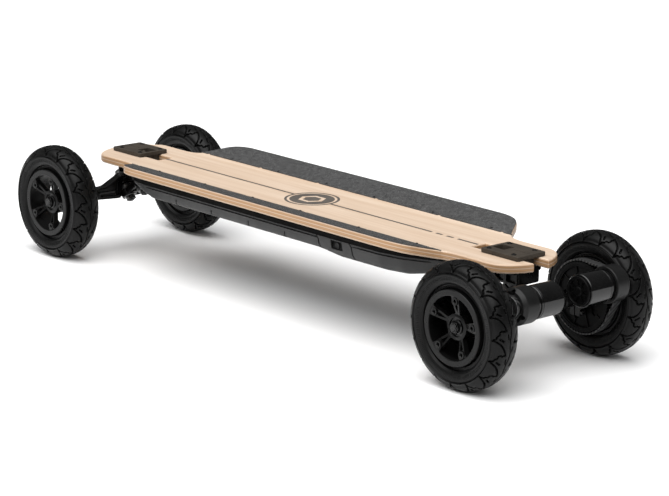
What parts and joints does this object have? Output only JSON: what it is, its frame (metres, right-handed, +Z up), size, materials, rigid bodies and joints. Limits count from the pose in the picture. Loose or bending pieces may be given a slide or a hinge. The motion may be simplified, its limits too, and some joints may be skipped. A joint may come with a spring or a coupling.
{
  "type": "electric skateboard",
  "caption": "All-terrain electric skateboard: raised-edge wood deck, battery box under it, double-kingpin trucks, air-filled tyres and belt-driven rear wheels.",
  "frame": {"origin": "on the ground, below the centre of the whole board's box", "axes": "+X forwards along the deck, +Y to the rider's left, +Z up"},
  "size_m": [1.0786, 0.3074, 0.175],
  "materials": {
    "wood_deck": "satin clear-coated bamboo veneer",
    "grip_tape": "coarse sparkling grit",
    "enclosure_plastic": "satin moulded",
    "seal_rubber": "matte",
    "cell_pack": "wrapped cells",
    "circuit_board": "lacquered",
    "black_plastic": "satin moulded",
    "plate_metal": "bead-blasted dark anodised",
    "black_metal": "matte black anodised",
    "zinc_steel": "bright zinc",
    "bushing_rubber": "cast urethane",
    "tyre_rubber": "moulded with tread",
    "rim_plastic": "glass-filled moulded",
    "bearing_steel": "ground",
    "pulley_plastic": "moulded",
    "belt_rubber": "ribbed",
    "gloss_metal": "gloss black",
    "mount_metal": "satin black anodised",
    "pinion_steel": "machined"
  },
  "bodies": {
    "deck": {"deck": "wood_deck", "grip_tape_left": "grip_tape", "grip_tape_right": "grip_tape", "battery_enclosure": "enclosure_plastic", "enclosure_seal": "seal_rubber", "battery_pack": "cell_pack", "motor_controller": "circuit_board", "power_button_bezel": "black_plastic", "charge_port": "black_plastic", "front_top_plate": "plate_metal", "front_baseplate": "black_metal", "front_inner_kingpin": "zinc_steel", "front_inner_bushing_lower": "bushing_rubber", "front_inner_bushing_upper": "bushing_rubber", "front_mount_bolt_left": "zinc_steel", "front_mount_bolt_right": "zinc_steel", "rear_top_plate": "plate_metal", "rear_baseplate": "black_metal", "rear_inner_kingpin": "zinc_steel", "rear_inner_bushing_lower": "bushing_rubber", "rear_inner_bushing_upper": "bushing_rubber", "rear_mount_bolt_left": "zinc_steel", "rear_mount_bolt_right": "zinc_steel"},
    "power_button": {"power_button": "black_plastic"},
    "front_link": {"front_middle_link": "black_metal", "front_outer_kingpin": "zinc_steel"},
    "front_hanger": {"front_hanger": "black_metal", "front_outer_bushing_lower": "bushing_rubber", "front_outer_bushing_upper": "bushing_rubber", "front_left_axle": "zinc_steel", "front_right_axle": "zinc_steel"},
    "front_left_wheel": {"front_left_tyre": "tyre_rubber", "front_left_rim": "rim_plastic", "front_left_bearing": "bearing_steel"},
    "front_right_wheel": {"front_right_tyre": "tyre_rubber", "front_right_rim": "rim_plastic", "front_right_bearing": "bearing_steel"},
    "rear_link": {"rear_middle_link": "black_metal", "rear_outer_kingpin": "zinc_steel"},
    "rear_hanger": {"rear_hanger": "black_metal", "rear_outer_bushing_lower": "bushing_rubber", "rear_outer_bushing_upper": "bushing_rubber", "rear_left_axle": "zinc_steel", "rear_right_axle": "zinc_steel", "left_drive_belt": "belt_rubber", "left_motor": "gloss_metal", "left_motor_mount": "mount_metal", "right_drive_belt": "belt_rubber", "right_motor": "gloss_metal", "right_motor_mount": "mount_metal"},
    "rear_left_wheel": {"rear_left_tyre": "tyre_rubber", "rear_left_rim": "rim_plastic", "rear_left_bearing": "bearing_steel", "left_wheel_pulley": "pulley_plastic"},
    "rear_right_wheel": {"rear_right_tyre": "tyre_rubber", "rear_right_rim": "rim_plastic", "rear_right_bearing": "bearing_steel", "right_wheel_pulley": "pulley_plastic"},
    "left_pinion": {"left_motor_pinion": "pinion_steel"},
    "right_pinion": {"right_motor_pinion": "pinion_steel"}
  },
  "joints": [
    {"name": "front_inner_steer", "type": "hinge", "parent": "deck", "child": "front_link", "pos_m": [0.40428, 0, 0.10113], "axis": [0.6157, 0, 0.788], "range_deg": [-8, 8], "stiffness_Nm_per_rad": 45},
    {"name": "front_outer_steer", "type": "hinge", "parent": "front_link", "child": "front_hanger", "pos_m": [0.4358, 0, 0.0765], "axis": [0.6157, 0, 0.788], "range_deg": [-8, 8], "stiffness_Nm_per_rad": 45},
    {"name": "front_left_wheel_spin", "type": "hinge", "parent": "front_hanger", "child": "front_left_wheel", "pos_m": [0.4518, 0.131, 0.0875], "axis": [0, 1, 0], "continuous": true},
    {"name": "front_right_wheel_spin", "type": "hinge", "parent": "front_hanger", "child": "front_right_wheel", "pos_m": [0.4518, -0.131, 0.0875], "axis": [0, 1, 0], "continuous": true},
    {"name": "rear_inner_steer", "type": "hinge", "parent": "deck", "child": "rear_link", "pos_m": [-0.40428, 0, 0.10113], "axis": [0.6157, 0, -0.788], "range_deg": [-8, 8], "stiffness_Nm_per_rad": 45},
    {"name": "rear_outer_steer", "type": "hinge", "parent": "rear_link", "child": "rear_hanger", "pos_m": [-0.4358, 0, 0.0765], "axis": [0.6157, 0, -0.788], "range_deg": [-8, 8], "stiffness_Nm_per_rad": 45},
    {"name": "rear_left_wheel_spin", "type": "hinge", "parent": "rear_hanger", "child": "rear_left_wheel", "pos_m": [-0.4518, 0.131, 0.0875], "axis": [0, 1, 0], "continuous": true},
    {"name": "rear_right_wheel_spin", "type": "hinge", "parent": "rear_hanger", "child": "rear_right_wheel", "pos_m": [-0.4518, -0.131, 0.0875], "axis": [0, 1, 0], "continuous": true},
    {"name": "left_pinion_spin", "type": "hinge", "parent": "rear_hanger", "child": "left_pinion", "pos_m": [-0.5106, 0.0995, 0.12], "axis": [0, 1, 0], "continuous": true},
    {"name": "right_pinion_spin", "type": "hinge", "parent": "rear_hanger", "child": "right_pinion", "pos_m": [-0.5106, -0.0995, 0.12], "axis": [0, 1, 0], "continuous": true},
    {"name": "power_button_press", "type": "slide", "parent": "deck", "child": "power_button", "axis": [0, -1, 0], "range_m": [0, 0.0012], "stiffness_N_per_m": 900}
  ],
  "couplings": [
    {"joint": "front_outer_steer", "follows": "front_inner_steer", "ratio": 1},
    {"joint": "rear_outer_steer", "follows": "rear_inner_steer", "ratio": 1},
    {"joint": "left_pinion_spin", "follows": "rear_left_wheel_spin", "ratio": 3.9375},
    {"joint": "right_pinion_spin", "follows": "rear_right_wheel_spin", "ratio": 3.9375}
  ]
}
